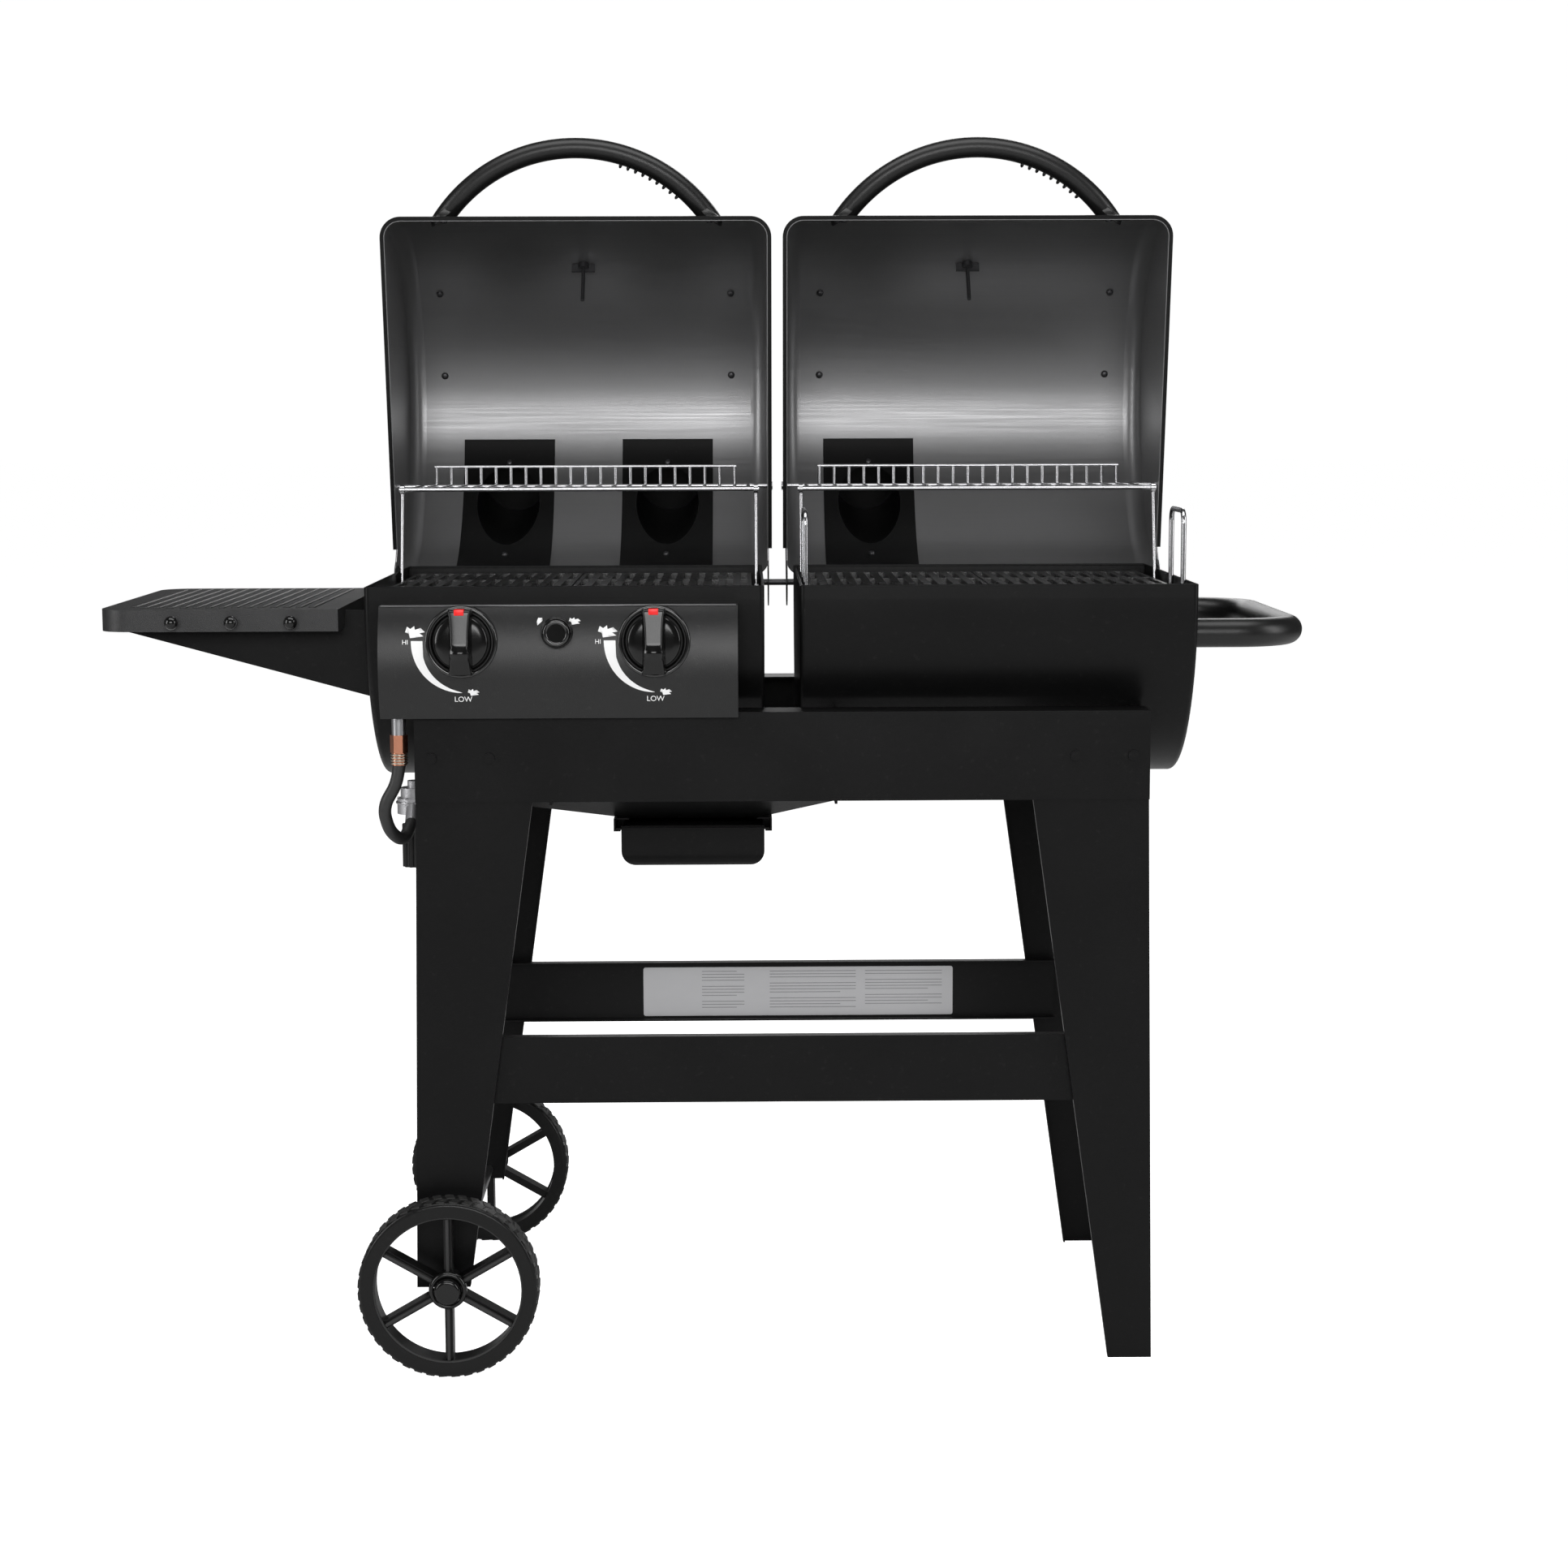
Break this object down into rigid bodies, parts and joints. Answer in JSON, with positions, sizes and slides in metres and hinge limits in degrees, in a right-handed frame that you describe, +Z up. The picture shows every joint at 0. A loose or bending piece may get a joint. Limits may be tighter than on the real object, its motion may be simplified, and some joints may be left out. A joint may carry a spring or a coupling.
{
  "type": "twin-barrel gas and charcoal grill",
  "caption": "Cart grill with a gas barrel and a charcoal barrel side by side, both lids open, a side shelf, a tow handle and wheels on one side.",
  "frame": {"origin": "on the floor, midway between the four legs", "axes": "+X along the barrels towards the tow handle, -Y towards the cook, +Z up"},
  "size_m": [1.3785, 0.8313, 1.4229],
  "materials": {
    "black_paint": "satin powder coat",
    "panel_paint": "fine textured powder coat",
    "cast_grate": "matt enamel",
    "plated_wire": "bright plating",
    "plated_steel": "dull plating",
    "black_plastic": "moulded",
    "wheel_plastic": "moulded",
    "hose_rubber": "matt",
    "brass": "raw",
    "cast_zinc": "as cast"
  },
  "bodies": {
    "cart": {"burner_tubes": "plated_steel", "cart_handle": "black_paint", "charcoal_cooking_grate_left": "cast_grate", "charcoal_cooking_grate_right": "cast_grate", "charcoal_tub": "black_paint", "control_panel": "panel_paint", "cup_rails": "black_paint", "frame_bolts": "plated_steel", "front_apron": "black_paint", "front_left_leg": "black_paint", "front_lower_bar": "black_paint", "front_right_leg": "black_paint", "gas_cooking_grate_left": "cast_grate", "gas_cooking_grate_right": "cast_grate", "gas_fittings": "brass", "gas_hose": "hose_rubber", "gas_manifold": "plated_steel", "gas_regulator": "cast_zinc", "gas_tub": "black_paint", "grate_ledges": "black_paint", "grease_pan": "black_paint", "heat_plates": "black_paint", "hinge_brackets": "black_paint", "hinge_rod": "plated_steel", "knob_bezels": "panel_paint", "rear_apron": "black_paint", "rear_left_leg": "black_paint", "rear_lower_bar": "black_paint", "rear_right_leg": "black_paint", "regulator_hook": "black_paint", "shelf_brackets": "panel_paint", "side_shelf": "panel_paint", "tool_hooks": "black_paint", "tub_saddles": "black_paint", "wheel_axle": "plated_steel"},
    "gas_lid": {"gas_lid": "black_paint", "gas_lid_handle": "black_paint", "gas_thermometer": "plated_steel", "gas_smokestacks": "black_paint"},
    "charcoal_lid": {"charcoal_lid": "black_paint", "charcoal_lid_handle": "black_paint", "charcoal_thermometer": "plated_steel", "charcoal_smokestack": "black_paint"},
    "gas_rack": {"gas_warming_rack": "plated_wire"},
    "charcoal_rack": {"charcoal_warming_rack": "plated_wire"},
    "gas_rack_leg_pair": {"gas_rack_legs": "plated_wire"},
    "charcoal_rack_leg_pair": {"charcoal_rack_legs": "plated_wire"},
    "gas_left_cap": {"gas_stack_cap_left": "black_paint"},
    "gas_right_cap": {"gas_stack_cap_right": "black_paint"},
    "charcoal_cap": {"charcoal_stack_cap": "black_paint"},
    "fire_grate_lift": {"fire_grate": "black_paint", "fire_grate_lift_handles": "plated_wire"},
    "damper": {"air_damper": "black_paint"},
    "left_knob": {"left_knob": "black_plastic"},
    "right_knob": {"right_knob": "black_plastic"},
    "igniter": {"igniter_button": "black_plastic"},
    "front_wheel": {"front_wheel": "wheel_plastic"},
    "rear_wheel": {"rear_wheel": "wheel_plastic"},
    "cup": {"grease_cup": "black_paint"},
    "handwheel": {"cylinder_handwheel": "black_plastic"}
  },
  "joints": [
    {"name": "gas_lid_hinge", "type": "hinge", "parent": "cart", "child": "gas_lid", "pos_m": [-0.2485, 0.232, 0.871], "axis": [1, 0, 0], "range_deg": [0, 79]},
    {"name": "gas_rack_pivot", "type": "hinge", "parent": "gas_lid", "child": "gas_rack", "pos_m": [-0.245, 0.26, 0.993], "axis": [1, 0, 0], "range_deg": [-79, 0]},
    {"name": "gas_rack_leg_pivot", "type": "hinge", "parent": "gas_rack", "child": "gas_rack_leg_pair", "pos_m": [-0.245, 0.11, 0.993], "axis": [1, 0, 0], "range_deg": [0, 79]},
    {"name": "charcoal_lid_hinge", "type": "hinge", "parent": "cart", "child": "charcoal_lid", "pos_m": [0.2485, 0.232, 0.871], "axis": [1, 0, 0], "range_deg": [0, 79]},
    {"name": "charcoal_rack_pivot", "type": "hinge", "parent": "charcoal_lid", "child": "charcoal_rack", "pos_m": [0.245, 0.26, 0.993], "axis": [1, 0, 0], "range_deg": [-79, 0]},
    {"name": "charcoal_rack_leg_pivot", "type": "hinge", "parent": "charcoal_rack", "child": "charcoal_rack_leg_pair", "pos_m": [0.245, 0.11, 0.993], "axis": [1, 0, 0], "range_deg": [0, 79]},
    {"name": "gas_left_cap_pivot", "type": "hinge", "parent": "gas_lid", "child": "gas_left_cap", "pos_m": [-0.3535, 0.52286, 0.94689], "axis": [0, 0.9816, 0.1908], "range_deg": [0, 100]},
    {"name": "gas_right_cap_pivot", "type": "hinge", "parent": "gas_lid", "child": "gas_right_cap", "pos_m": [-0.1435, 0.52286, 0.94689], "axis": [0, 0.9816, 0.1908], "range_deg": [0, 100]},
    {"name": "charcoal_cap_pivot", "type": "hinge", "parent": "charcoal_lid", "child": "charcoal_cap", "pos_m": [0.1235, 0.52286, 0.94689], "axis": [0, 0.9816, 0.1908], "range_deg": [0, 100]},
    {"name": "fire_grate_height", "type": "slide", "parent": "cart", "child": "fire_grate_lift", "axis": [0, 0, 1], "range_m": [0, 0.05]},
    {"name": "air_damper_pivot", "type": "hinge", "parent": "cart", "child": "damper", "pos_m": [0.47, -0.09, 0.76], "axis": [1, 0, 0], "range_deg": [0, 60]},
    {"name": "left_knob_turn", "type": "hinge", "parent": "cart", "child": "left_knob", "pos_m": [-0.357, -0.27, 0.835], "axis": [0, -1, 0], "range_deg": [0, 190]},
    {"name": "right_knob_turn", "type": "hinge", "parent": "cart", "child": "right_knob", "pos_m": [-0.143, -0.27, 0.835], "axis": [0, -1, 0], "range_deg": [0, 190]},
    {"name": "igniter_push", "type": "slide", "parent": "cart", "child": "igniter", "axis": [0, 1, 0], "range_m": [0, 0.004], "stiffness_N_per_m": 400},
    {"name": "front_wheel_spin", "type": "hinge", "parent": "cart", "child": "front_wheel", "pos_m": [-0.382, -0.275, 0.1016], "axis": [0, 1, 0], "continuous": true},
    {"name": "rear_wheel_spin", "type": "hinge", "parent": "cart", "child": "rear_wheel", "pos_m": [-0.382, 0.275, 0.1016], "axis": [0, 1, 0], "continuous": true},
    {"name": "grease_cup_slide", "type": "slide", "parent": "cart", "child": "cup", "axis": [0, -1, 0], "range_m": [0, 0.15]},
    {"name": "handwheel_turn", "type": "hinge", "parent": "cart", "child": "handwheel", "pos_m": [-0.425, -0.15, 0.59], "axis": [0, 0, 1], "continuous": true}
  ],
  "couplings": [
    {"joint": "gas_rack_pivot", "follows": "gas_lid_hinge", "ratio": -1},
    {"joint": "gas_rack_leg_pivot", "follows": "gas_lid_hinge", "ratio": 1},
    {"joint": "charcoal_rack_pivot", "follows": "charcoal_lid_hinge", "ratio": -1},
    {"joint": "charcoal_rack_leg_pivot", "follows": "charcoal_lid_hinge", "ratio": 1}
  ]
}
